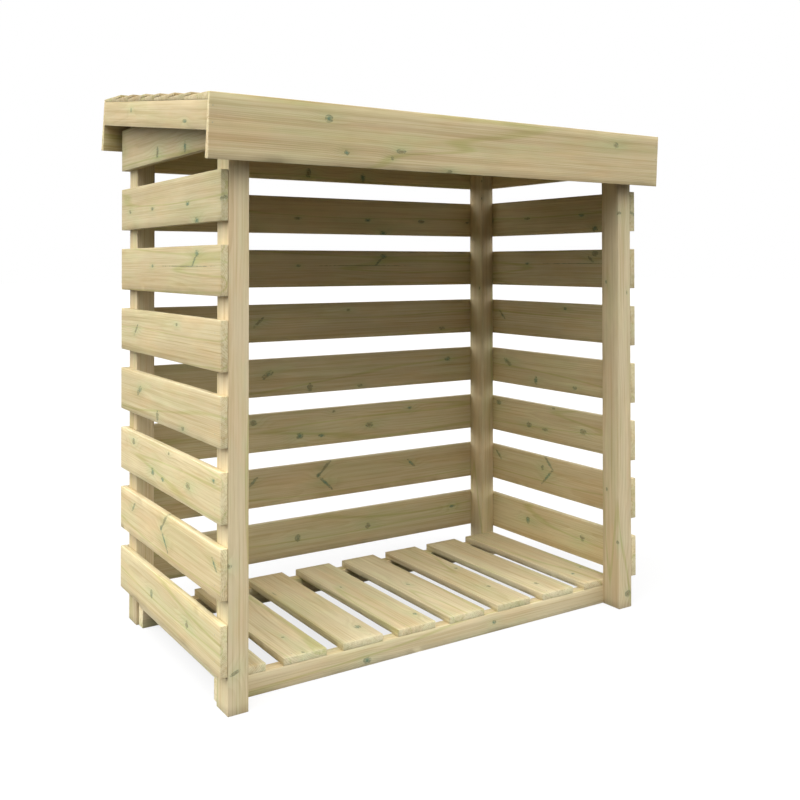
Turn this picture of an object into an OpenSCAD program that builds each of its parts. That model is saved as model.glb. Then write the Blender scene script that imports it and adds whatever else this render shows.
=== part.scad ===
// Slatted softwood log store: four corner posts, slatted walls on three sides, a slatted
// floor on two rails, and a lean-to roof of lapped featheredge boards that falls to the
// open front.
// Millimetres. +Z is up and the open front faces -Y. The origin is on the ground, under
// the middle of the whole store.

/* [Frame] */
// Width over the outer faces of the corner posts
frame_w = 1034; // [850:1:1800]
// Depth over the front and back faces of the corner posts
frame_d = 583; // [400:1:900]
// Width of a corner post, across the front
post_w = 41; // [30:1:75]
// Depth of a corner post, front to back
post_d = 54; // [30:1:90]

/* [Wall slats] */
// Height of a wall slat
slat_h = 95; // [60:1:125]
// Thickness of a wall slat
slat_t = 15; // [10:1:25]
// Gap between one wall slat and the next
slat_gap = 43; // [15:1:80]
// Height of the lowest wall slat above the ground
slat_start = 72; // [50:1:150]

/* [Floor] */
// Height of a floor rail, which stands on edge on the ground
rail_h = 42; // [30:1:75]
// Thickness of a floor rail
rail_t = 27; // [18:1:45]
// Distance from a floor rail's end in to the outer face of the post
rail_inset = 6; // [0:1:15]
// Number of floor slats
floor_slat_count = 8; // [5:1:8]
// Width of a floor slat
floor_slat_w = 95; // [60:1:100]
// Thickness of a floor slat
floor_slat_t = 15; // [10:1:25]

/* [Roof] */
// Pitch of the roof, in degrees
roof_pitch = 7.67; // [4:0.01:12]
// How far below the top of the walls the roof's underside meets the front of the posts
roof_drop = 16; // [0:1:30]
// How far the roof runs forward of the posts, to the back of the front fascia
front_overhang = 33.5; // [26:0.5:80]
// Space between the back wall slats and the back fascia, under the roof boards
back_clear = 2; // [0:0.5:40]
// Space between a side wall's slats and the bargeboard beside it
side_clear = 24; // [5:1:80]
// Height of a bargeboard
barge_h = 54; // [40:1:100]
// Thickness of a bargeboard
barge_t = 15; // [10:1:27]
// Width of a featheredge board, on the roof and in the fascias
board_w = 119; // [104:1:145]
// Number of roof boards. A long roof takes more of them, so that they still lap.
roof_board_count = 7; // [6:1:9]
// The least that one roof board laps over the one below
least_lap = 10; // [5:1:15]
// Thickness of a featheredge board at its thick edge
board_thick = 15; // [12:0.5:20]
// Thickness of a featheredge board at its thin edge
board_thin = 6; // [4:0.5:9]
// Clearance between a roof board and the thin edge that it laps over
lap_clear = 0.3; // [0.1:0.1:1]

/* [Hidden] */
// Levels of wall slats, counted from the bottom
LEVELS = 8;

// Walls
slat_pitch = slat_h + slat_gap;
wall_top = slat_start + (LEVELS - 1) * slat_pitch + slat_h;

// Roof: it spans roof_run on the level and roof_len along the slope
roof_run = front_overhang + frame_d + slat_t + back_clear;
roof_len = roof_run / cos(roof_pitch);
roof_w = frame_w + 2 * (slat_t + side_clear + barge_t);

// Roof boards, counted from the front
BOARDS = max(roof_board_count, 1 + ceil((roof_len - board_w) / (board_w - least_lap)));
board_pitch = (roof_len - board_w) / (BOARDS - 1);
board_lap = board_w - board_pitch;

// How far each fascia stands out from the roof's underside, at its outermost corner
front_reach = max(
    board_thin * cos(roof_pitch) + board_thick * sin(roof_pitch),
    board_thick * cos(roof_pitch) - (board_w - board_thick) * sin(roof_pitch)
);
back_reach = max(
    board_thin * cos(roof_pitch) - board_thin * sin(roof_pitch),
    board_thick * cos(roof_pitch) + (board_w - board_thin) * sin(roof_pitch)
);

// Front and back faces of the posts, with the store's whole depth centred on the origin
front_y = front_overhang + (front_reach - roof_run - back_reach) / 2;
back_y = front_y + frame_d;

// Front end of the roof's underside, with its height to a hundredth of a millimetre
roof_y = front_y - front_overhang;
roof_z = round(100 * (wall_top - roof_drop - front_overhang * tan(roof_pitch))) / 100;

// Floor
rail_len = frame_w - 2 * rail_inset;
floor_slat_pitch = (rail_len - floor_slat_w) / (floor_slat_count - 1);

// How far the roof's underside rises in a distance back from its front end
function rise(d) = d * tan(roof_pitch);

// Thickness of a featheredge board at a distance from its thick edge
function taper(s) = board_thick - (board_thick - board_thin) * s / board_w;

// Height of the underside of a wall slat
function level_z(i) = slat_start + (i - 1) * slat_pitch;

// A side view, drawn as [depth, height], made into a piece that runs across the store
module across(length) {
    rotate([90, 0, 90])
        translate([0, 0, -length / 2])
            linear_extrude(length)
                children();
}

// The front end of the roof's underside. Whatever is cut to the roof's slope is drawn from
// here, with its depth and height measured from this point.
module from_roof_front() {
    translate([0, roof_y, roof_z])
        children();
}

// The roof's own frame: Y runs up the slope, and Z = 0 is the underside of the boards
module on_roof() {
    from_roof_front()
        rotate([roof_pitch, 0, 0])
            children();
}

// side is -1 on the left and 1 on the right. The front of the post is y0, and its top is
// cut to the roof's slope.
module post(side, y0) {
    d0 = y0 - roof_y;
    d1 = d0 + post_d;
    color("#cdbf98")
        from_roof_front()
            translate([side * (frame_w - post_w) / 2, 0, 0])
                across(post_w)
                    polygon([[d0, -roof_z], [d1, -roof_z], [d1, rise(d1)], [d0, rise(d0)]]);
}

// Side view of a side wall slat. Where it would reach into the roof, it is cut off along
// the slope.
function side_slat_outline(d0, d1, z0, z1) = concat(
    [[d0, z0], [d1, z0], [d1, min(z1, rise(d1))]],
    rise(d0) < z1 && z1 < rise(d1) ? [[z1 / tan(roof_pitch), z1]] : [],
    [[d0, min(z1, rise(d0))]]
);

// The side slats run from the front of the posts to the outside of the back slats.
module side_slat(side, i) {
    d0 = front_y - roof_y;
    z0 = level_z(i) - roof_z;
    color("#dccb9f")
        from_roof_front()
            translate([side * (frame_w + slat_t) / 2, 0, 0])
                across(slat_t)
                    polygon(side_slat_outline(d0, d0 + frame_d + slat_t, z0, z0 + slat_h));
}

module back_slat(i) {
    color("#cdbd92")
        translate([-frame_w / 2, back_y, level_z(i)])
            cube([frame_w, slat_t, slat_h]);
}

module floor_rail(y0) {
    color("#c9b88c")
        translate([-rail_len / 2, y0, 0])
            cube([rail_len, rail_t, rail_h]);
}

// The floor slats lie on the rails, between the front and back posts.
module floor_slats() {
    color("#e2d6ab")
        for (i = [0:floor_slat_count - 1])
            translate([i * floor_slat_pitch - rail_len / 2, front_y + post_d, rail_h])
                cube([floor_slat_w, frame_d - 2 * post_d, floor_slat_t]);
}

// Roof board 1 is at the front and is plain. Each later board has a rebate under its
// thick edge, which laps over the thin edge of the board below.
module roof_board(i) {
    rebate = board_lap + lap_clear;
    underside = i == 1
        ? [[0, 0]]
        : [[0, taper(board_pitch) + lap_clear], [rebate, taper(board_pitch + rebate) + lap_clear], [rebate, 0]];
    color("#d5c493")
        on_roof()
            translate([0, (i - 1) * board_pitch, 0])
                across(roof_w)
                    polygon(concat(underside, [[board_w, 0], [board_w, board_thin], [0, board_thick]]));
}

// The bargeboards carry the ends of the roof boards.
module bargeboard(side) {
    color("#dccb9f")
        on_roof()
            translate([side * (roof_w - barge_t) / 2 - barge_t / 2, 0, -barge_h])
                cube([barge_t, roof_len, barge_h]);
}

// A featheredge board on edge across the ends of the bargeboards, square to the slope,
// with its thin edge up. facing is -1 at the front and 1 at the back.
module fascia(facing, at, top) {
    color("#cdbe95")
        on_roof()
            translate([0, at, 0])
                across(roof_w)
                    polygon([
                        [0, top],
                        [0, top - board_w],
                        [facing * board_thick, top - board_w],
                        [facing * board_thin, top]
                    ]);
}

post(-1, front_y);  // front_left_post
post(1, front_y);  // front_right_post
post(-1, back_y - post_d);  // back_left_post
post(1, back_y - post_d);  // back_right_post
for (i = [1:LEVELS]) {
    side_slat(-1, i);
    side_slat(1, i);
    back_slat(i);
}
floor_rail(front_y + post_d);  // front_floor_rail
floor_rail(back_y - post_d - rail_t);  // back_floor_rail
floor_slats();
for (i = [1:BOARDS])
    roof_board(i);
bargeboard(-1);  // left_bargeboard
bargeboard(1);  // right_bargeboard
fascia(-1, 0, board_thick);  // front_fascia
fascia(1, roof_len, board_thin);  // back_fascia
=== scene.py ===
import random
from functools import reduce
from math import ceil, cos, pi, radians, sin, tan

import bmesh
import bpy
from mathutils import Matrix, Vector, noise


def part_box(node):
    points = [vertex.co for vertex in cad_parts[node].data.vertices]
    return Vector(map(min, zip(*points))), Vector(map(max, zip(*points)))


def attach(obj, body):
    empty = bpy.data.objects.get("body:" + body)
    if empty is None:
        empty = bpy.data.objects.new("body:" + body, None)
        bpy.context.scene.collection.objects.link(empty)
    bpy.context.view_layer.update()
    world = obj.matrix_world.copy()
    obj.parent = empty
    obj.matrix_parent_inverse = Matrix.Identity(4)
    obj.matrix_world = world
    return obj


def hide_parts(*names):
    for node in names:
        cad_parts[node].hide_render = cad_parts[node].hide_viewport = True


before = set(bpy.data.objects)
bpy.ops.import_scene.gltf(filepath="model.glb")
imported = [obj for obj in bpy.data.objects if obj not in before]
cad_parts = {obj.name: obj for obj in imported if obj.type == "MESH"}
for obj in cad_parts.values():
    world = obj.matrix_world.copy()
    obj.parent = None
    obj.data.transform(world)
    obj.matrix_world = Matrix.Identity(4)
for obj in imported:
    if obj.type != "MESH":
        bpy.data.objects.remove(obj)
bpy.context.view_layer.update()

# Sizes in metres, with the names that part.scad gives them
frame_w, frame_d = 1.034, 0.583
post_w, post_d = 0.041, 0.054
slat_h, slat_t, slat_gap, slat_start = 0.095, 0.015, 0.043, 0.072
rail_h, rail_t, rail_inset = 0.042, 0.027, 0.006
floor_slat_count, floor_slat_w, floor_slat_t = 8, 0.095, 0.015
roof_pitch, roof_drop = radians(7.67), 0.016
front_overhang, back_clear, side_clear = 0.0335, 0.002, 0.024
barge_h, barge_t = 0.054, 0.015
board_w, board_thick, board_thin, lap_clear = 0.119, 0.015, 0.006, 0.0003
LEVELS, BOARDS = 8, 7

rail_len = frame_w - 2 * rail_inset
floor_slat_pitch = (rail_len - floor_slat_w) / (floor_slat_count - 1)
roof_len = (front_overhang + frame_d + slat_t + back_clear) / cos(roof_pitch)
roof_w = frame_w + 2 * (slat_t + side_clear + barge_t)
board_pitch = (roof_len - board_w) / (BOARDS - 1)
front_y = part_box("front_left_post")[0].y
back_y = front_y + frame_d
wall_top = slat_start + (LEVELS - 1) * (slat_h + slat_gap) + slat_h
roof_y = front_y - front_overhang
roof_z = wall_top - roof_drop - front_overhang * tan(roof_pitch)

# Width of the softened arris on a sawn board, how deep the middle of it is as a part of
# that, and spacing of the vertices along and across the board
ARRIS, ARRIS_MIDDLE, STEP = 0.0008, 0.3, 0.018

# How far at most a board's faces and ends are worn below the solid's, and how far its
# arrises are below the faces, at least and more than that in places
WEAR, END_WEAR, ARRIS_LEAST_WEAR, ARRIS_WEAR = 0.0003, 0.0003, 0.0001, 0.0006

# Faces that meet at less than this are shaded as one
SMOOTH = radians(50)

X, Y, Z = Vector((1, 0, 0)), Vector((0, 1, 0)), Vector((0, 0, 1))
UP_SLOPE = Vector((0, cos(roof_pitch), sin(roof_pitch)))
OFF_ROOF = Vector((0, -sin(roof_pitch), cos(roof_pitch)))


def roof_point(along, above):
    """The point this far up the slope from the roof's front end, and this far above the
    underside of its boards."""
    return Vector((0, roof_y, roof_z)) + along * UP_SLOPE + above * OFF_ROOF


def roof_under(y):
    """Height of the roof's underside at a depth."""
    return roof_z + (y - roof_y) * tan(roof_pitch)


def taper(s):
    """Thickness of a featheredge board at a distance from its thick edge."""
    return board_thick - (board_thick - board_thin) * s / board_w


def placed(name, data):
    """A new object in the scene."""
    o = bpy.data.objects.new(name, data)
    bpy.context.scene.collection.objects.link(o)
    return o


# ---------------------------------------------------------------- materials

class Nodes:
    """Short names for making shader nodes in one tree."""

    def __init__(self, tree):
        self.tree = tree

    def new(self, kind, **settings):
        n = self.tree.nodes.new(kind)
        for k, v in settings.items():
            setattr(n, k, v)
        return n

    def put(self, socket, value):
        if isinstance(value, bpy.types.NodeSocket):
            self.tree.links.new(value, socket)
        else:
            socket.default_value = value

    def math(self, op, a, b=0.0):
        n = self.new("ShaderNodeMath", operation=op)
        self.put(n.inputs[0], a)
        self.put(n.inputs[1], b)
        return n.outputs[0]

    def hypot(self, a, b):
        return self.math("SQRT", self.math("ADD", self.math("POWER", a, 2.0), self.math("POWER", b, 2.0)))

    def swing(self, v, amount):
        """A noise from 0 to 1 turned into one that swings about 0, amount wide."""
        return self.math("MULTIPLY", self.math("SUBTRACT", v, 0.5), amount)

    def vec(self, op, a, b=(0, 0, 0)):
        n = self.new("ShaderNodeVectorMath", operation=op)
        self.put(n.inputs[0], a)
        self.put(n.inputs[1], b)
        return n.outputs["Value" if op == "DOT_PRODUCT" else "Vector"]

    def attribute(self, name):
        return self.new("ShaderNodeAttribute", attribute_name=name)

    def split(self, v):
        n = self.new("ShaderNodeSeparateXYZ")
        self.put(n.inputs[0], v)
        return n.outputs

    def join(self, x, y, z):
        n = self.new("ShaderNodeCombineXYZ")
        for s, v in zip(n.inputs, (x, y, z)):
            self.put(s, v)
        return n.outputs[0]

    def noise(self, v, detail=2.0, rough=0.5):
        """Noise that varies over about 1 in v. Returns one value, and three others as a colour."""
        n = self.new("ShaderNodeTexNoise")
        for name, value in (("Vector", v), ("Scale", 1.0), ("Detail", detail), ("Roughness", rough)):
            self.put(n.inputs[name], value)
        return n.outputs["Fac"], n.outputs["Color"]

    def step(self, v, lo, hi, out_lo=0.0, out_hi=1.0):
        """A smooth step from out_lo to out_hi, while v goes from lo to hi."""
        n = self.new("ShaderNodeMapRange", interpolation_type="SMOOTHSTEP")
        self.put(n.inputs[0], v)
        for i, x in enumerate((lo, hi, out_lo, out_hi), 1):
            self.put(n.inputs[i], x)
        return n.outputs[0]

    def mix(self, factor, a, b, blend="MIX"):
        n = self.new("ShaderNodeMix", data_type="RGBA", blend_type=blend)
        self.put(n.inputs["Factor"], factor)
        self.put(n.inputs[6], a if isinstance(a, bpy.types.NodeSocket) else (*a, 1))
        self.put(n.inputs[7], b if isinstance(b, bpy.types.NodeSocket) else (*b, 1))
        return n.outputs[2]

    def shade(self, factor, colour, by):
        """The colour, and as far as factor says, the colour multiplied by another."""
        return self.mix(factor, colour, self.mix(1.0, colour, by, "MULTIPLY"))

    def seen(self):
        """1 for rays that show a surface itself, directly, mirrored or through glass, and 0
        for rays that gather light."""
        path = self.new("ShaderNodeLightPath").outputs
        shown = self.math("MAXIMUM", path["Is Camera Ray"], path["Is Glossy Ray"])
        return self.math("MAXIMUM", shown, path["Is Transmission Ray"])


def emptied(owner):
    """Nodes for the cleared tree of a material or world."""
    owner.use_nodes = True
    owner.node_tree.nodes.clear()
    return Nodes(owner.node_tree)


def group(name, ins, outs):
    """A node group with these sockets: its nodes, and the group's inputs and outputs as
    they are inside."""
    tree = bpy.data.node_groups.new(name, "ShaderNodeTree")
    for direction, sockets in (("INPUT", ins), ("OUTPUT", outs)):
        for s, kind in sockets:
            tree.interface.new_socket(s, in_out=direction, socket_type=kind)
    g = Nodes(tree)
    return g, g.new("NodeGroupInput").outputs, g.new("NodeGroupOutput").inputs


FLOAT, VECTOR, COLOUR = "NodeSocketFloat", "NodeSocketVector", "NodeSocketColor"


def knot_group():
    """One knot: Place is a point on the board, Knot its middle and its half length along
    the grain, and Across its half width across the grain. A minus sign on either makes it
    lean, one way or the other."""
    g, i, o = group("knot", [("Place", VECTOR), ("Knot", VECTOR), ("Across", FLOAT), ("Ragged", VECTOR)],
                    [("Core", FLOAT), ("Rim", FLOAT), ("Near", FLOAT), ("Swirl", FLOAT)])
    p = g.split(i["Place"])
    k = g.split(i["Knot"])
    u = g.math("SUBTRACT", p[0], k[0])
    # a knot runs through the board at a slant
    v = g.math("SUBTRACT", g.math("ADD", p[1], g.math("MULTIPLY", p[2], 0.35)), k[1])
    lean = g.math("SUBTRACT", g.math("LESS_THAN", k[2], 0.0), g.math("LESS_THAN", i["Across"], 0.0))
    u = g.math("ADD", u, g.math("MULTIPLY", v, lean))
    a = g.math("MAXIMUM", g.math("ABSOLUTE", k[2]), 0.0002)
    b = g.math("MAXIMUM", g.math("ABSOLUTE", i["Across"]), 0.0002)
    d = g.hypot(g.math("DIVIDE", u, a), g.math("DIVIDE", v, b))
    d = g.math("ADD", d, g.swing(g.split(i["Ragged"])[0], 0.7))
    size = g.math("MINIMUM", a, b)
    g.put(o["Core"], g.step(d, 0.35, 1.0, 1.0, 0.0))
    rim = g.math("MULTIPLY", g.step(d, 0.5, 0.9), g.step(d, 0.95, 1.4, 1.0, 0.0))
    g.put(o["Rim"], g.math("MULTIPLY", rim, g.step(g.split(i["Ragged"])[1], 0.35, 0.6)))
    # the grain sweeps round a knot over a few times its size
    far = g.math("DIVIDE", g.hypot(g.math("MULTIPLY", u, 0.45), v), g.math("ADD", size, 0.0015))
    near = g.math("POWER", 2.718, g.math("MULTIPLY", g.math("POWER", far, 2.0), -0.22))
    near = g.math("MULTIPLY", near, g.step(size, 0.0003, 0.0016))
    g.put(o["Near"], near)
    g.put(o["Swirl"], g.math("MULTIPLY", near, size))
    return g.tree


# The most knots that a board may have, and one that is nowhere near it
KNOTS, NO_KNOT = 6, (9, 9, 0, 0)


def softwood_group(knot_tree):
    """Pressure-treated softwood as a solid: rings round a pith that runs along the board,
    so that faces show straight or arched grain and the ends show the rings."""
    g, i, o = group("softwood", [("Pale", COLOUR), ("Tan", COLOUR), ("Olive", COLOUR), ("Stain", FLOAT)],
                    [("Color", COLOUR), ("Roughness", FLOAT), ("Height", FLOAT)])
    place = g.attribute("loc").outputs["Vector"]
    pith = g.attribute("pith").outputs["Vector"]
    # a board's brightness, mostly painted light and shade, then its olive and its rings
    tone = g.split(g.attribute("tone").outputs["Vector"])
    rim = g.split(g.attribute("rim").outputs["Vector"])
    end = g.attribute("end").outputs["Fac"]
    q = g.vec("ADD", place, pith)

    def stretched(x, yz):
        return g.vec("MULTIPLY", q, (x, yz, yz))

    ragged = g.noise(g.vec("MULTIPLY", q, (120, 240, 240)), detail=2)[1]
    ragged_level = g.split(ragged)[2]
    knots = []
    for k in range(KNOTS):
        a = g.attribute("knot%d" % k)
        n = g.new("ShaderNodeGroup", node_tree=knot_tree)
        for name, value in (("Place", place), ("Knot", a.outputs["Vector"]), ("Across", a.outputs["Alpha"]),
                            ("Ragged", ragged)):
            g.put(n.inputs[name], value)
        knots.append(n.outputs)

    def over_knots(op, name):
        return reduce(lambda a, b: g.math(op, a, b), [k[name] for k in knots])

    core, knot_rim, near = (over_knots("MAXIMUM", name) for name in ("Core", "Rim", "Near"))
    swirl = over_knots("ADD", "Swirl")

    # growth rings
    wander = g.split(g.noise(stretched(1.5, 5.0), detail=1)[1])
    qs = g.split(q)
    r = g.hypot(*(g.math("ADD", qs[1 + k], g.swing(wander[k], 0.030)) for k in (0, 1)))
    wobble = g.noise(stretched(9, 30), detail=2)[0]
    r = g.math("ADD", r, g.swing(wobble, 0.0035))
    r = g.math("ADD", r, g.math("MULTIPLY", swirl, 1.3))
    rings_a_metre = g.math("ADD", 215.0, g.math("MULTIPLY", tone[2], 120.0))
    phase = g.math("FRACT", g.math("MULTIPLY", r, rings_a_metre))
    late = g.math("MULTIPLY", g.step(phase, 0.35, 0.88), g.step(phase, 0.9, 1.0, 1.0, 0.0))
    late = g.math("MULTIPLY", late, g.step(g.noise(stretched(2, 24), detail=1)[0], 0.3, 0.7, 0.35, 1.0))

    # bands of tint along the grain, from which part of the tree the wood comes
    def banded(along, out, seed):
        at = g.join(g.math("MULTIPLY", qs[0], along), g.math("MULTIPLY", r, out), seed)
        return g.noise(at, detail=2, rough=0.6)[0]

    tan_band, olive_band = banded(0.9, 60.0, pi), banded(1.6, 34.0, 7.7)
    blotch = g.noise(stretched(7, 16), detail=3, rough=0.6)[0]
    fibre = g.noise(stretched(14, 700), detail=2, rough=0.7)[0]
    streak = g.noise(stretched(3.2, 150), detail=3, rough=0.65)[0]

    colour = g.mix(g.step(tan_band, 0.42, 0.70), i["Pale"], i["Tan"])
    olive = g.math("MULTIPLY", g.step(olive_band, 0.48, 0.74), g.math("ADD", 0.35, tone[1]))
    colour = g.mix(olive, colour, i["Olive"])
    tint = g.split(g.noise(stretched(5, 20), detail=3, rough=0.62)[1])
    greener, pinker, paler = (0.96, 1.01, 0.97), (1.01, 0.96, 0.92), (1.06, 1.07, 1.07)
    for k, shift in enumerate((greener, pinker, paler)):
        colour = g.shade(g.step(tint[k], 0.46, 0.66), colour, shift)
    colour = g.shade(g.math("MULTIPLY", late, 0.30), colour, (0.70, 0.62, 0.44))
    # a few long olive lines follow the grain
    contour = g.noise(stretched(0.8, 11), detail=1)[0]
    vein = g.step(g.math("ABSOLUTE", g.math("SUBTRACT", contour, 0.5)), 0.002, 0.018, 0.75, 0.0)
    colour = g.shade(vein, colour, (0.80, 0.86, 0.64))
    line = g.noise(stretched(2.6, 310), detail=2, rough=0.6)[0]
    for amount, strength in ((streak, 0.45), (line, 0.55)):
        colour = g.shade(g.step(amount, 0.47, 0.70, 0.0, strength), colour, (0.80, 0.74, 0.60))
    colour = g.shade(g.math("MULTIPLY", g.step(fibre, 0.5, 0.8), 0.25), colour, (0.78, 0.72, 0.60))
    colour = g.shade(g.step(blotch, 0.35, 0.75, 0.0, 0.22), colour, (0.84, 0.86, 0.74))

    # knots: a teal or brown heart with a broken dark rim, in a paler and greener patch
    hue = g.noise(stretched(23, 31), detail=0)[0]
    halo = g.math("MULTIPLY", near, g.step(blotch, 0.25, 0.65, 0.45, 1.0))
    stained = g.math("MULTIPLY", halo, g.math("MULTIPLY", i["Stain"], 0.55))
    colour = g.shade(stained, colour, (0.78, 0.98, 0.88))
    teal, brown = (0.11, 0.22, 0.145), (0.25, 0.22, 0.11)
    heart = g.mix(g.step(hue, 0.42, 0.58), teal, brown)
    colour = g.mix(g.math("MULTIPLY", core, g.step(ragged_level, 0.3, 0.7, 0.60, 0.92)), colour, heart)
    colour = g.mix(g.math("MULTIPLY", knot_rim, 0.6), colour, (0.06, 0.11, 0.065))

    # sawn ends are greyer and paler, with darker late wood, and take up more of the treatment; part of their
    # paleness is painted light that brightens the end faces
    end_tint_and_painted_light = g.mix(g.math("MULTIPLY", late, 0.5), (1.14, 1.17, 1.21), (0.90, 0.95, 0.90))
    end_patch = g.noise(stretched(30, 45), detail=2)[0]
    end_tint_and_painted_light = g.mix(g.step(end_patch, 0.45, 0.75, 0.0, 0.55), end_tint_and_painted_light, (0.95, 1.02, 0.98))
    # the ends' pale tint is partly the end grain's own colour and partly painted light
    colour = g.shade(g.math("MULTIPLY", end, 0.9), colour, end_tint_and_painted_light)

    # arrises are paler, partly as rubbed wear and partly as a painted highlight: on an arris two of the three
    # distances are small
    low = g.math("MINIMUM", rim[0], rim[1])
    high = g.math("MAXIMUM", rim[0], rim[1])
    edge = g.math("MAXIMUM", low, g.math("MINIMUM", high, rim[2]))
    edge = g.math("ADD", edge, g.swing(streak, 0.004))
    rubbed_and_highlit = g.step(edge, 0.0002, 0.0012, 1.0, 0.0)
    # the pale arris colour is a painted highlight as well as rubbed wear
    colour = g.mix(g.math("MULTIPLY", rubbed_and_highlit, 0.42), colour, (0.88, 0.80, 0.55))

    # the board's brightness multiplies its colour: this is mostly painted light and shade
    brightness_and_painted_shade = g.join(tone[0], tone[0], tone[0])
    g.put(o["Color"], g.mix(1.0, colour, brightness_and_painted_shade, "MULTIPLY"))

    rough = g.math("ADD", 0.66, g.math("MULTIPLY", streak, 0.16))
    rough = g.math("ADD", rough, g.math("MULTIPLY", end, 0.10))
    g.put(o["Roughness"], g.math("SUBTRACT", rough, g.math("MULTIPLY", late, 0.08)))
    saw = g.noise(g.vec("MULTIPLY", q, (420, 24, 24)), detail=1)[0]
    h = g.math("MULTIPLY", fibre, 0.35)
    for part, amount in ((streak, 0.5), (late, 0.35), (saw, 0.12)):
        h = g.math("ADD", h, g.math("MULTIPLY", part, amount))
    h = g.math("SUBTRACT", h, g.math("MULTIPLY", knot_rim, 0.9))
    g.put(o["Height"], h)
    return g.tree


def surfaced(g, kind, inputs):
    """A shader node of this kind, with its inputs set, as the material's surface."""
    shader = g.new(kind)
    for name, value in inputs.items():
        g.put(shader.inputs[name], value)
    g.put(g.new("ShaderNodeOutputMaterial").inputs["Surface"], shader.outputs[0])


def timber(name, tree, pale, tan_, olive, stain):
    """A timber's material, from the softwood group and its own colours."""
    m = bpy.data.materials.new(name)
    g = emptied(m)
    wood = g.new("ShaderNodeGroup", node_tree=tree)
    for s, v in (("Pale", (*pale, 1)), ("Tan", (*tan_, 1)), ("Olive", (*olive, 1)), ("Stain", stain)):
        wood.inputs[s].default_value = v
    bump = g.new("ShaderNodeBump")
    for s, v in (("Strength", 0.55), ("Distance", 0.0006), ("Height", wood.outputs["Height"])):
        g.put(bump.inputs[s], v)
    surfaced(g, "ShaderNodeBsdfPrincipled", {
        "Base Color": wood.outputs["Color"], "Roughness": wood.outputs["Roughness"],
        "Normal": bump.outputs["Normal"], "Specular IOR Level": 0.28,
    })
    return m


WOOD = softwood_group(knot_group())

# Each timber's pale, tan and olive, and how strongly its knots are stained. The posts' timber is a little
# paler than the slats', partly as painted light that brightens the posts
TIMBER_COLOURS = {
    "post_timber": ((0.76, 0.64, 0.42), (0.71, 0.58, 0.37), (0.65, 0.58, 0.35), 0.8),
    "slat_timber": ((0.73, 0.62, 0.38), (0.66, 0.53, 0.31), (0.56, 0.52, 0.27), 1.0),
    "floor_timber": ((0.78, 0.68, 0.45), (0.71, 0.59, 0.37), (0.60, 0.56, 0.31), 0.8),
    "roof_timber": ((0.70, 0.58, 0.35), (0.62, 0.48, 0.28), (0.52, 0.46, 0.21), 0.9),
}
TIMBER = {name: timber(name, WOOD, *colours) for name, colours in TIMBER_COLOURS.items()}


def steel():
    """Galvanised nail heads, dulled unevenly."""
    m = bpy.data.materials.new("nail_steel")
    g = emptied(m)
    place = g.new("ShaderNodeNewGeometry").outputs["Position"]
    dull = g.noise(g.vec("MULTIPLY", place, (900, 900, 900)))[0]
    surfaced(g, "ShaderNodeBsdfPrincipled", {
        "Base Color": g.mix(dull, (0.48, 0.42, 0.27), (0.58, 0.51, 0.34)),
        "Roughness": g.step(dull, 0.3, 0.7, 0.5, 0.7), "Metallic": 0.15, "Specular IOR Level": 0.3,
    })
    return m


STEEL = steel()


# ------------------------------------------------------------------- boards

# How much paler or darker than its timber's colour a board is. A little of it is the board's own tone, but
# mostly it is painted light and shade.
# It makes the left wall's slats darker towards the top, and the back wall's lower slats and the right wall's
# middle slats darker inside the store as painted shade.
# It makes the top slats of both of these lighter, the roof boards darker under the strong light from above,
# the back posts darker, and the rails and fascias lighter as painted light.
# First the numbered ones, in order from 1, and then the others
BRIGHTNESS_AND_PAINTED_SHADE = {
    "%s_%d" % (name, i): value
    for name, values in (
        ("left_slat", (1.04, 1.10, 1.08, 0.97, 0.95, 0.92, 0.89, 0.90)),
        ("right_slat", (1.0, 1.0, 1.0, 1.0, 0.84, 0.82, 0.87, 1.08)),
        ("back_slat", (0.76, 0.79, 0.86, 0.81, 0.79, 0.86, 1.0, 1.12)),
        ("roof_board", (0.90, 0.80, 0.83, 0.78, 0.82, 0.79, 0.83)),
    )
    for i, value in enumerate(values, 1)
}
BRIGHTNESS_AND_PAINTED_SHADE.update({
    "front_left_post": 1.03, "front_right_post": 0.98, "back_left_post": 0.92, "back_right_post": 0.94,
    "front_floor_rail": 1.05, "back_floor_rail": 1.08, "front_fascia": 1.08, "back_fascia": 1.08,
})

# A nail head's radius and sides, how much of the radius is flat on top, how far it reaches
# into the board, and how much its rim is below its top
NAIL_R, NAIL_SIDES, NAIL_FLAT, NAIL_DEPTH, NAIL_DOME = 0.0015, 10, 0.7, 0.0012, 0.0001

# Distance of a pair of nails from the middle of a slat, of a nail from a roof board's thick
# edge, and of a pair of nails from a fascia's thin edge
NAIL_SPREAD, ROOF_NAIL, FASCIA_NAILS = 0.024, 0.03, (0.055, 0.025)

# How far a side slat's inner face is from the post, where a dark line shows
NAILED_GAP = 0.0006

# The most of a side that a softened corner takes, how much its outer points take of the
# wear of its middle, and the least that is left of its softened shape where it is worn
CORNER_REACH, CORNER_SIDE, LEAST_CORNER = 0.4, 0.4, 0.15

# Sides of an outline that are longer than this part of the longest are long ones
LONG_SIDE = 0.6

# For points that aren't on wood: a place far from any knot, and distances from the edges
NO_PLACE, NO_EDGE = (9, 9, 9), (1, 1, 1)


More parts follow.
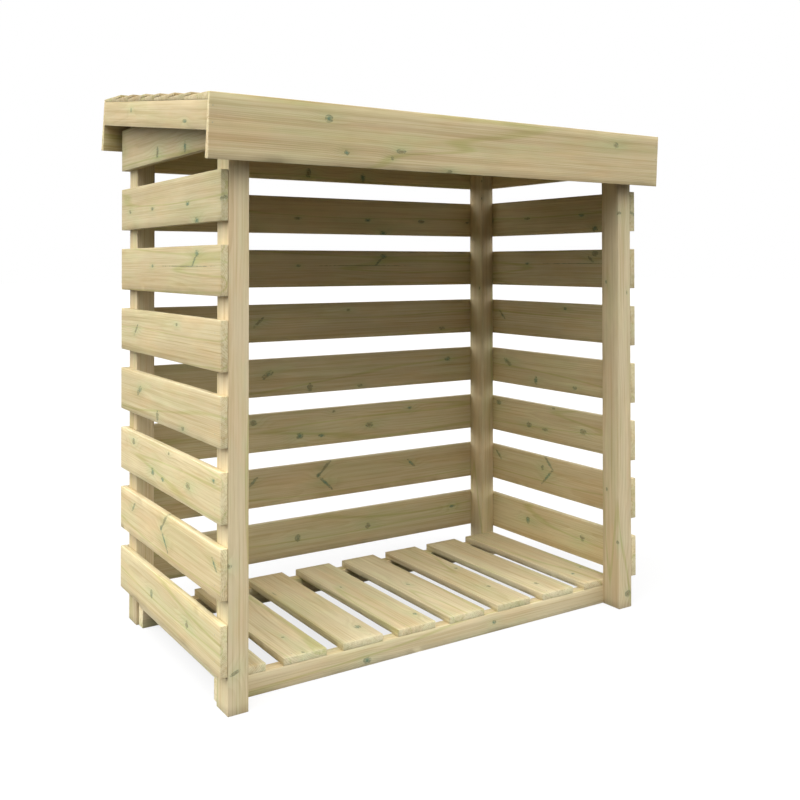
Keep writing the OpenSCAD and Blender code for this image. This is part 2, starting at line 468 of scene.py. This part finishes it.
def rounded(outline):
    """The outline with each corner softened and long sides divided. Returns, for each point
    in order: the point, how much it is on a corner, the corner (or the point itself), and
    how far that moves when all the sides move in by one."""
    n = len(outline)
    turn = 1 if sum(outline[i].cross(outline[(i + 1) % n]) for i in range(n)) > 0 else -1
    sides = [outline[(i + 1) % n] - outline[i] for i in range(n)]
    normals = [turn * Vector((-s.y, s.x)).normalized() for s in sides]
    cuts = [min(ARRIS, sides[i - 1].length * CORNER_REACH, sides[i].length * CORNER_REACH) for i in range(n)]
    out = []
    for i, p in enumerate(outline):
        along = sides[i].normalized()
        a, c = p - cuts[i] * sides[i - 1].normalized(), p + cuts[i] * along
        mitre = (normals[i - 1] + normals[i]) / (1 + normals[i - 1].dot(normals[i]))
        soft = 0.25 * a + 0.5 * p + 0.25 * c
        out += [(a, CORNER_SIDE, p, mitre), (soft, 1.0, p, mitre), (c, CORNER_SIDE, p, mitre)]
        last = outline[(i + 1) % n] - cuts[(i + 1) % n] * along
        parts = ceil((last - c).length / STEP)
        for k in range(1, parts):
            q = c.lerp(last, k / parts)
            out.append((q, 0.0, q, normals[i]))
    return out


def edge_gap(outline, p, wide):
    """Distance from p to the nearest of the outline's long sides, or of its short ones."""
    n, best = len(outline), 1.0
    longest = max((outline[(i + 1) % n] - outline[i]).length for i in range(n))
    for i in range(n):
        a, b = outline[i], outline[(i + 1) % n]
        side = b - a
        if (side.length > LONG_SIDE * longest) == wide:
            t = max(0.0, min(1.0, (p - a).dot(side) / side.length_squared))
            best = min(best, (a + t * side - p).length)
    return best


def nail_head(u, v, w):
    """Points and faces of a nail's head, with the middle of its top at this point of a
    board's face, in the board's directions."""
    outwards = 1 if w > 0 else -1
    points, faces = [], []
    for radius, drop in ((NAIL_R, NAIL_DEPTH), (NAIL_R, NAIL_DOME), (NAIL_FLAT * NAIL_R, 0.0)):
        for k in range(NAIL_SIDES):
            turn = 2 * pi * k / NAIL_SIDES
            points.append(Vector((u + radius * cos(turn), v + radius * sin(turn), w - outwards * drop)))
    for ring in (0, NAIL_SIDES):
        for k in range(NAIL_SIDES):
            there = (k + 1) % NAIL_SIDES
            faces.append((ring + k, ring + there, ring + NAIL_SIDES + there, ring + NAIL_SIDES + k))
    top = 2 * NAIL_SIDES
    faces += [tuple(range(NAIL_SIDES)), tuple(range(top, top + NAIL_SIDES))]
    return points, faces


def board(name, axes, origin, length, outline, slot, knots=(),
          top_slope=0.0, cut=None, nails=(), timber=None):
    """A sawn board. axes are its directions along, across and through, outline its section,
    and origin where the section's own origin is at its first end. knots are (place along,
    place across, half length, half width), from the middle of the board. nails are (place
    along, from the middle, and a point on the outline). Its far end has the slope
    top_slope, and cut moves points that would reach too far. Boards with the same timber
    show the same grain."""
    rng = random.Random(timber or name)
    outline = [Vector(p) for p in outline]
    section = rounded(outline)
    pts = [p for p, _, _, _ in section]
    parts = ceil((length - 2 * ARRIS) / STEP)
    soft = ARRIS_MIDDLE * ARRIS
    rings = [(0.0, ARRIS), (soft, soft)]
    rings += [(ARRIS + (length - 2 * ARRIS) * k / parts, 0.0) for k in range(parts + 1)]
    rings += [(length - soft, soft), (length, ARRIS)]
    seed = Vector([rng.uniform(0, 90) for _ in range(3)])
    low = Vector((min(p.x for p in pts), min(p.y for p in pts)))
    high = Vector((max(p.x for p in pts), max(p.y for p in pts)))
    middle = (low + high) / 2

    # Each point has loc, its place on the board, and rim, its distances from the ends, the
    # short sides and the long sides. Each face has end, how much it belongs to an end.
    verts, loc, rim, faces, end = [], [], [], [], []
    matrix = Matrix((axes[0], axes[1], axes[2])).transposed()
    for x, inset in rings:
        for p, c, base, into in section:
            s = Vector((x * 9, p.x * 14, p.y * 14)) + seed
            worn = WEAR * (0.5 + 0.5 * noise.noise(s))
            if c:
                worn += c * ARRIS_WEAR * max(0.0, noise.noise(s * 4.1)) + ARRIS_LEAST_WEAR * c
            depth = inset + worn
            at = base + depth * into + max(LEAST_CORNER, 1 - depth / ARRIS) * (p - base)
            along = x
            if inset:
                along += (1 if x < length / 2 else -1) * END_WEAR * (0.5 + 0.5 * noise.noise(s * 3))
            if top_slope and x > length / 2 and x > length - STEP:
                along += top_slope * (at.x - (high.x if top_slope > 0 else low.x))
            v = Vector((along, at.x, at.y))
            if cut:
                v = cut(v)
            verts.append(origin + matrix @ v)
            loc.append((x - length / 2, p.x - middle.x, p.y - middle.y))
            rim.append((min(x, length - x), edge_gap(outline, at, False), edge_gap(outline, at, True)))
    n = len(pts)
    for k in range(len(rings) - 1):
        for i in range(n):
            j = (i + 1) % n
            faces.append((k * n + i, k * n + j, (k + 1) * n + j, (k + 1) * n + i))
            end.append(0.5 if k in (0, len(rings) - 2) else 0.0)
    last = (len(rings) - 1) * n
    faces += [tuple(range(n)), tuple(range(last, last + n))]
    end += [1.0, 1.0]
    wooden = len(faces)
    for u, v, w in nails:
        points, sides = nail_head(u + length / 2, v, w)
        faces += [tuple(len(verts) + i for i in f) for f in sides]
        verts += [origin + matrix @ point for point in points]
        loc += [NO_PLACE] * len(points)
        rim += [NO_EDGE] * len(points)
        end += [0.0] * len(sides)
    from_pith, turn = rng.uniform(0.03, 0.11), rng.uniform(0.3, 1.4)
    return {
        "verts": verts, "faces": faces, "loc": loc, "rim": rim, "end": end, "slot": slot,
        "metal": [0] * wooden + [1] * (len(faces) - wooden),
        "pith": (rng.uniform(0, 40), rng.choice((-1, 1)) * from_pith * cos(turn),
                 rng.choice((-1, 1)) * from_pith * sin(turn)),
        # the first of these is the board's painted light and shade, together with its own tone
        "tone": (BRIGHTNESS_AND_PAINTED_SHADE.get(name, 1.0), rng.uniform(-0.2, 0.6), rng.uniform(0, 1)),
        "knots": (list(knots) + [NO_KNOT] * KNOTS)[:KNOTS],
    }


def build(name, boards, nodes):
    """One piece made of boards, which stands for CAD nodes."""
    mesh = bpy.data.meshes.new(name)
    verts, faces = [], []
    for b in boards:
        faces += [tuple(len(verts) + i for i in f) for f in b["faces"]]
        verts += b["verts"]
    mesh.from_pydata(verts, [], faces)

    def store(attribute, kind, domain, field, listed):
        """An attribute of the mesh, from what listed() gives for each board in turn."""
        values = []
        for b in boards:
            for x in listed(b):
                values += x if isinstance(x, (tuple, list)) else [x]
        mesh.attributes.new(attribute, kind, domain).data.foreach_set(field, values)

    for key in ("loc", "rim"):
        store(key, "FLOAT_VECTOR", "POINT", "vector", lambda b: b[key])
    store("end", "FLOAT", "FACE", "value", lambda b: b["end"])
    for key in ("pith", "tone"):
        store(key, "FLOAT_VECTOR", "POINT", "vector", lambda b: [b[key]] * len(b["verts"]))
    for k in range(KNOTS):
        store("knot%d" % k, "FLOAT_COLOR", "POINT", "color", lambda b: [b["knots"][k]] * len(b["verts"]))
    bm = bmesh.new()
    bm.from_mesh(mesh)
    bmesh.ops.recalc_face_normals(bm, faces=bm.faces)
    for e in bm.edges:
        e.smooth = e.calc_face_angle(0) < SMOOTH
    for f in bm.faces:
        f.smooth = True
    bm.to_mesh(mesh)
    bm.free()
    mesh.materials.append(TIMBER[boards[0]["slot"]])
    if any(any(b["metal"]) for b in boards):
        mesh.materials.append(STEEL)
        mesh.polygons.foreach_set("material_index", [m for b in boards for m in b["metal"]])
    o = placed(name, mesh)
    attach(o, "root")
    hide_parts(*nodes)
    return o


def block(w, t, back=0.0):
    """The outline of a plain board, with its middle at the origin and its inner face set
    back a little from the solid's."""
    inner = back - t / 2
    return [(-w / 2, inner), (w / 2, inner), (w / 2, t / 2), (-w / 2, t / 2)]


def one(name, *args, **kw):
    """A piece of one board, for the CAD node of the same name."""
    return build(name + "_board", [board(name, *args, **kw)], [name])


# Knots of the wall slats, by level, seen from outside: (place along, place across, half
# length, half width) in metres, from the middle of the slat
LEVEL_KNOTS = {
    1: ((-0.080, 0.000, 0.007, 0.008), (0.130, 0.000, 0.007, 0.007), (-0.360, -0.020, 0.009, 0.006),
        (0.410, 0.015, 0.010, 0.004)),
    2: ((-0.020, 0.015, 0.005, 0.006), (0.000, 0.035, 0.005, -0.019), (0.000, -0.005, -0.005, 0.019),
        (0.270, 0.015, -0.005, 0.011), (-0.205, 0.020, 0.005, -0.010)),
    3: ((-0.205, 0.030, 0.009, 0.006), (0.135, -0.005, 0.010, 0.006), (0.265, 0.030, 0.007, 0.004),
        (0.025, 0.040, 0.005, 0.003), (-0.075, -0.015, 0.009, 0.007), (-0.010, -0.020, 0.009, 0.004)),
    4: ((-0.165, 0.010, 0.010, -0.009), (-0.045, -0.030, 0.007, 0.009), (0.105, -0.035, 0.007, 0.004),
        (0.395, 0.020, 0.009, 0.006)),
    5: ((0.375, -0.030, 0.009, 0.004), (-0.190, 0.005, 0.005, -0.011), (0.070, 0.030, 0.005, 0.003)),
    6: ((0.180, 0.035, 0.009, 0.006), (0.165, 0.020, 0.005, -0.008), (-0.080, 0.010, 0.007, 0.003),
        (0.120, 0.010, 0.120, 0.001), (-0.400, -0.010, 0.010, 0.007)),
    7: ((0.305, -0.005, 0.009, 0.004), (0.465, -0.005, 0.007, 0.003), (0.180, -0.040, 0.009, 0.006),
        (-0.080, -0.005, 0.010, 0.003), (-0.235, -0.005, 0.007, 0.004), (0.130, -0.005, 0.009, 0.004)),
    8: ((0.115, -0.030, 0.007, 0.010), (-0.050, -0.025, 0.007, 0.010), (-0.310, 0.010, 0.009, 0.006)),
}

# Knots of other boards
KNOT_PLACES = {
    "left_bargeboard": ((0.210, -0.010, 0.010, 0.003), (-0.120, 0.010, 0.004, 0.004)),
    "right_bargeboard": ((-0.180, 0.005, 0.006, 0.005), (0.090, -0.010, 0.004, 0.003)),
    "front_fascia": ((-0.330, 0.030, 0.008, 0.006), (-0.290, -0.030, 0.005, 0.004),
                     (-0.165, -0.020, 0.011, 0.004), (-0.185, -0.035, 0.003, 0.003),
                     (0.430, 0.030, 0.007, 0.006), (-0.045, -0.055, 0.007, 0.004)),
    "back_fascia": ((-0.220, 0.020, 0.007, 0.006), (0.130, -0.025, 0.006, 0.005),
                    (0.390, 0.010, 0.008, 0.006)),
    "front_floor_rail": ((-0.190, -0.005, 0.008, 0.006), (0.140, 0.005, 0.005, 0.004)),
    "back_floor_rail": ((0.210, 0.005, 0.006, 0.005),),
    "floor_slat_2": ((-0.230, 0.005, 0.004, 0.003), (-0.140, 0.005, 0.003, 0.003)),
    "floor_slat_3": ((-0.175, -0.020, 0.008, 0.006), (0.105, 0.040, 0.012, 0.001)),
    "floor_slat_4": ((-0.180, -0.030, 0.006, 0.004), (0.060, 0.020, 0.004, 0.003)),
    "front_left_post": ((-0.485, -0.025, -0.003, 0.003), (-0.290, -0.020, 0.004, 0.002)),
    "front_right_post": ((-0.530, 0.030, 0.007, 0.003), (-0.405, 0.015, 0.004, 0.004),
                         (-0.285, -0.020, 0.004, 0.003), (0.380, 0.020, 0.004, 0.003),
                         (0.215, -0.020, 0.004, 0.003), (0.190, 0.030, 0.004, 0.001)),
    "back_right_post": ((0.460, 0.020, 0.003, 0.001), (0.410, 0.020, 0.003, 0.001),
                        (0.155, 0.010, 0.005, 0.003)),
    "back_left_post": ((0.220, 0.005, 0.004, 0.003),),
}


def chance_knots(name, length, width):
    """A few small knots for a board that has none listed."""
    rng = random.Random(name + " knots")
    return [(rng.uniform(-0.45, 0.45) * length, rng.uniform(-0.4, 0.4) * width,
             rng.uniform(0.003, 0.007), rng.uniform(0.0025, 0.006)) for _ in range(rng.choice((1, 2, 3)))]


# Distance of the middle of a post and of a bargeboard from the middle of the store
POST_MIDDLE, BARGE_MIDDLE = (frame_w - post_w) / 2, (roof_w - barge_t) / 2

# Posts, with their tops cut to the roof's slope
for side, x_name in ((-1, "left"), (1, "right")):
    for y0, y_name in ((front_y, "front"), (back_y - post_d, "back")):
        name = "%s_%s_post" % (y_name, x_name)
        one(name, (Z, -side * Y, side * X), Vector((side * POST_MIDDLE, y0 + post_d / 2, 0)),
            roof_under(y0 + post_d), block(post_d, post_w), "post_timber", KNOT_PLACES[name],
            top_slope=-side * tan(roof_pitch))

# Wall slats
for i in range(1, LEVELS + 1):
    z = slat_start + (i - 1) * (slat_h + slat_gap) + slat_h / 2
    for side, x_name in ((-1, "left"), (1, "right")):
        name = "%s_slat_%d" % (x_name, i)
        length = frame_d + slat_t
        start = back_y + slat_t if side < 0 else front_y

        def cut(v, side=side, z=z, start=start):
            v.y = min(v.y, roof_under(start + side * v.x) - z)
            return v

        # the right wall's slats are the left wall's turned end for end
        knots = [(-side * u, v, a, b) for u, v, a, b in LEVEL_KNOTS[i]]
        nails = [(side * (y - start) - length / 2, v, slat_t / 2)
                 for y in (front_y + post_d / 2, back_y - post_d / 2)
                 for v in (-NAIL_SPREAD, NAIL_SPREAD) if i < LEVELS or v < 0]
        one(name, (side * Y, Z, side * X), Vector((side * (frame_w + slat_t) / 2, start, z)), length,
            block(slat_h, slat_t, NAILED_GAP), "slat_timber", knots,
            cut=cut if i == LEVELS else None, nails=nails, timber="level %d" % i)
    name = "back_slat_%d" % i
    one(name, (X, Z, -Y), Vector((-frame_w / 2, back_y + slat_t / 2, z)), frame_w,
        block(slat_h, slat_t), "slat_timber", LEVEL_KNOTS[i], timber="level %d" % i,
        nails=[(u, v, -slat_t / 2) for u in (-POST_MIDDLE, POST_MIDDLE) for v in (-NAIL_SPREAD, NAIL_SPREAD)])

# Floor rails and slats
for name, y in (("front_floor_rail", front_y + post_d + rail_t / 2),
                ("back_floor_rail", back_y - post_d - rail_t / 2)):
    one(name, (X, Z, -Y), Vector((-rail_len / 2, y, rail_h / 2)), rail_len, block(rail_h, rail_t),
        "floor_timber", KNOT_PLACES[name])

rail_middle = frame_d / 2 - post_d - rail_t / 2
floor = []
for i in range(floor_slat_count):
    name = "floor_slat_%d" % (i + 1)
    x = -rail_len / 2 + floor_slat_w / 2 + i * floor_slat_pitch
    floor.append(board(name, (Y, -X, Z), Vector((x, front_y + post_d, rail_h + floor_slat_t / 2)),
                       frame_d - 2 * post_d, block(floor_slat_w, floor_slat_t), "floor_timber",
                       KNOT_PLACES.get(name) or chance_knots(name, frame_d - 2 * post_d, floor_slat_w),
                       nails=[(u, v, floor_slat_t / 2) for u in (-rail_middle, rail_middle)
                              for v in (-NAIL_SPREAD, NAIL_SPREAD)]))
build("floor_slat_boards", floor, ["floor_slats"])

# Roof boards. All but the first have a rebate under the thick edge.
rebate = board_w - board_pitch + lap_clear
rebated = [(0, taper(board_pitch) + lap_clear), (rebate, taper(board_pitch + rebate) + lap_clear),
           (rebate, 0)]
for i in range(1, BOARDS + 1):
    name = "roof_board_%d" % i
    under = [(0, 0)] if i == 1 else rebated
    one(name, (X, UP_SLOPE, OFF_ROOF), roof_point((i - 1) * board_pitch, 0) - roof_w / 2 * X, roof_w,
        under + [(board_w, 0), (board_w, board_thin), (0, board_thick)], "roof_timber",
        chance_knots(name, roof_w, board_w),
        nails=[(u, ROOF_NAIL, taper(ROOF_NAIL)) for u in (-BARGE_MIDDLE, BARGE_MIDDLE)])

# Bargeboards
for side, name in ((-1, "left_bargeboard"), (1, "right_bargeboard")):
    one(name, (side * UP_SLOPE, OFF_ROOF, side * X),
        roof_point(roof_len if side < 0 else 0, -barge_h / 2) + side * BARGE_MIDDLE * X, roof_len,
        block(barge_h, barge_t), "roof_timber", KNOT_PLACES[name])

# Fascias, with the thin edge up
wedge = [(-board_w, 0), (0, 0), (0, board_thin), (-board_w, board_thick)]
fascia_nails = [(u, -v, taper(board_w - v)) for u in (-BARGE_MIDDLE, BARGE_MIDDLE) for v in FASCIA_NAILS]
one("front_fascia", (X, OFF_ROOF, -UP_SLOPE), roof_point(0, board_thick) - roof_w / 2 * X, roof_w, wedge,
    "roof_timber", KNOT_PLACES["front_fascia"], nails=fascia_nails)
one("back_fascia", (-X, OFF_ROOF, UP_SLOPE), roof_point(roof_len, board_thin) + roof_w / 2 * X, roof_w, wedge,
    "roof_timber", KNOT_PLACES["back_fascia"], nails=fascia_nails)

# -------------------------------------------------------- floor, light, camera

# Half the ground's width, and its height, just under the posts' feet
GROUND_HALF, GROUND_Z = 40, -0.0005


def plane(name, size, z):
    """A level square that isn't part of the store, from -size to size both ways."""
    mesh = bpy.data.meshes.new(name)
    mesh.from_pydata([(-size, -size, z), (size, -size, z), (size, size, z), (-size, size, z)],
                     [], [(0, 1, 2, 3)])
    o = placed(name, mesh)
    return o


ground = plane("ground", GROUND_HALF, GROUND_Z)

# Seen, the ground is white and keeps the shadow. To the light that falls on the store it is
# dark, so that it doesn't light the store from below.
m = bpy.data.materials.new("ground")
g = emptied(m)
matte, dim, glow = (g.new("ShaderNode" + kind) for kind in ("BsdfDiffuse", "BsdfDiffuse", "Emission"))
matte.inputs["Color"].default_value = (0.2, 0.2, 0.2, 1)
dim.inputs["Color"].default_value = (0.05, 0.05, 0.05, 1)
glow.inputs["Strength"].default_value = 0.80
white = g.new("ShaderNodeAddShader")
g.put(white.inputs[0], matte.outputs[0])
g.put(white.inputs[1], glow.outputs[0])
surfaced(g, "ShaderNodeMixShader", {0: g.seen(), 1: dim.outputs[0], 2: white.outputs[0]})
ground.data.materials.append(m)

# Large soft lights: degrees round from the front towards the left, degrees up, strength.
# The larger the power by which they fall off, the narrower they are. Where it is seen, the
# world is white.
SOFT_LIGHTS = ((90, 50, 3.0), (60, 50, 0.9), (0, 50, 2.0), (30, 65, 1.7), (120, 20, 3.0), (300, 20, 2.5))
FALL_OFF = 8.0

world = bpy.data.worlds.new("studio")
bpy.context.scene.world = world
g = emptied(world)
d = g.new("ShaderNodeTexCoord").outputs["Generated"]
level = 0.0
for turn, height, amount in SOFT_LIGHTS:
    turn, height = radians(turn), radians(height)
    towards = (-sin(turn) * cos(height), -cos(turn) * cos(height), sin(height))
    facing = g.math("MAXIMUM", g.vec("DOT_PRODUCT", d, towards), 0.0)
    level = g.math("ADD", level, g.math("MULTIPLY", g.math("POWER", facing, FALL_OFF), amount))
strength = g.new("ShaderNodeMix", data_type="FLOAT")
g.put(strength.inputs[0], g.seen())
g.put(strength.inputs[2], level)
g.put(strength.inputs[3], 1.0)
background = g.new("ShaderNodeBackground")
background.inputs[0].default_value = (1, 1, 1, 1)
g.put(background.inputs[1], strength.outputs[0])
g.put(g.new("ShaderNodeOutputWorld").inputs["Surface"], background.outputs[0])

# The camera: its place, its lens and sensor in millimetres, its shift, and how far it is
# turned to the right, up and round
CAMERA_AT, LENS, SENSOR, SHIFT_UP = (-1.2055, -1.9290, 0.8208), 43.116, 36, -0.186
yaw, pitch, roll = radians(32.989), radians(0.774), radians(-0.048)
ahead = Vector((sin(yaw) * cos(pitch), cos(yaw) * cos(pitch), sin(pitch)))
right = Vector((cos(yaw), -sin(yaw), 0))
up = right.cross(ahead)
right, up = cos(roll) * right + sin(roll) * up, -sin(roll) * right + cos(roll) * up
lens = bpy.data.cameras.new("camera")
lens.sensor_width, lens.lens, lens.shift_y = SENSOR, LENS, SHIFT_UP
camera = placed("camera", lens)
camera.matrix_world = Matrix.Translation(CAMERA_AT) @ Matrix((right, up, -ahead)).transposed().to_4x4()
bpy.context.scene.camera = camera
bpy.context.scene.view_settings.view_transform = "Standard"
